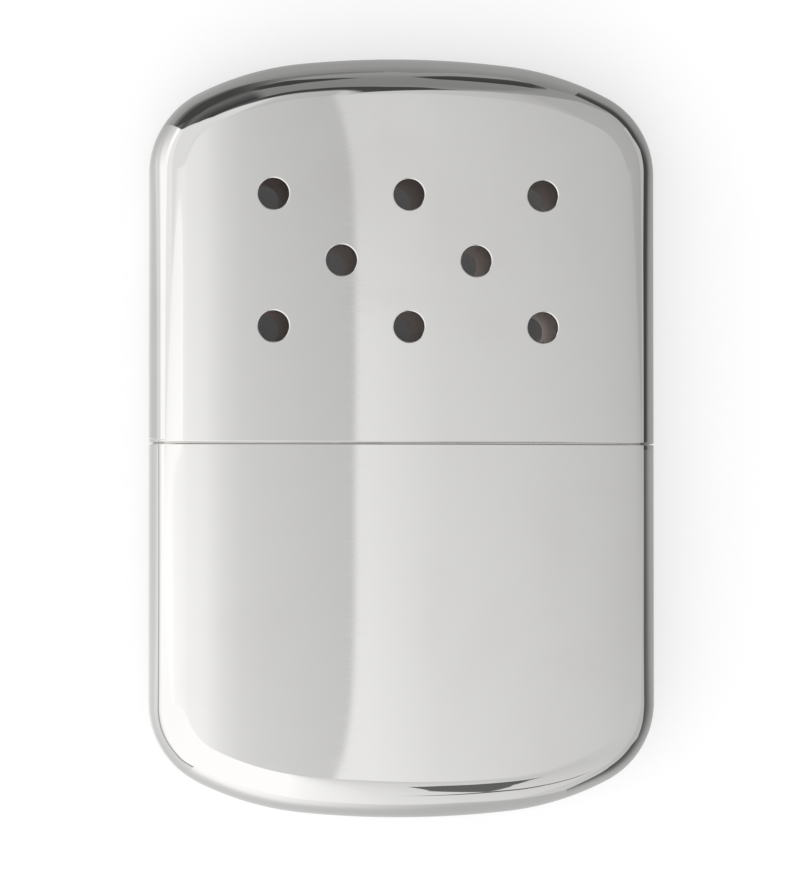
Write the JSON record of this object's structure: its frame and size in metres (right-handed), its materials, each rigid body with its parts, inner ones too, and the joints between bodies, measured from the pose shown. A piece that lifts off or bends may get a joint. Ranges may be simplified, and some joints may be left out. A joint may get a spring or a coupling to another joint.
{
  "type": "catalytic hand warmer",
  "caption": "Pocket catalytic hand warmer: a polished metal case whose vented lid pulls off a burner, which pulls off the neck of a fuel tank packed with wadding.",
  "frame": {"origin": "on the surface that the case lies on, under the middle of its bowed back", "axes": "+X across the case to the right, +Y up the case from the tank to the lid, +Z out of its front, away from the surface it lies on"},
  "size_m": [0.067, 0.1, 0.015],
  "materials": {
    "polished_case": "mirror polished, faint hairlines across",
    "plated_inner": "satin nickel plate",
    "burner_steel": "satin, heat tinted",
    "wire_gauze": "woven wire",
    "catalyst_fibre": "grey glass fibre",
    "wick_felt": "pressed felt",
    "cotton_wadding": "loose cotton"
  },
  "bodies": {
    "tank": {"tank_shell": "polished_case", "lid_collar": "plated_inner", "shoulder_plate": "plated_inner", "filler_neck": "plated_inner", "neck_screen": "plated_inner", "neck_wick": "wick_felt", "wadding_lower": "cotton_wadding", "wadding_middle": "cotton_wadding", "wadding_upper": "cotton_wadding"},
    "lid": {"lid_shell": "polished_case"},
    "burner": {"burner_skirt": "burner_steel", "vapour_plate": "burner_steel", "left_channel": "burner_steel", "right_channel": "burner_steel", "front_grille": "burner_steel", "back_grille": "burner_steel", "front_gauze": "wire_gauze", "back_gauze": "wire_gauze", "catalyst_mat": "catalyst_fibre", "burner_cap": "burner_steel"}
  },
  "joints": [
    {"name": "lid_lift", "type": "slide", "parent": "tank", "child": "lid", "axis": [0, 1, 0], "range_m": [0, 0.04]},
    {"name": "burner_lift", "type": "slide", "parent": "tank", "child": "burner", "axis": [0, 1, 0], "range_m": [0, 0.015]}
  ]
}
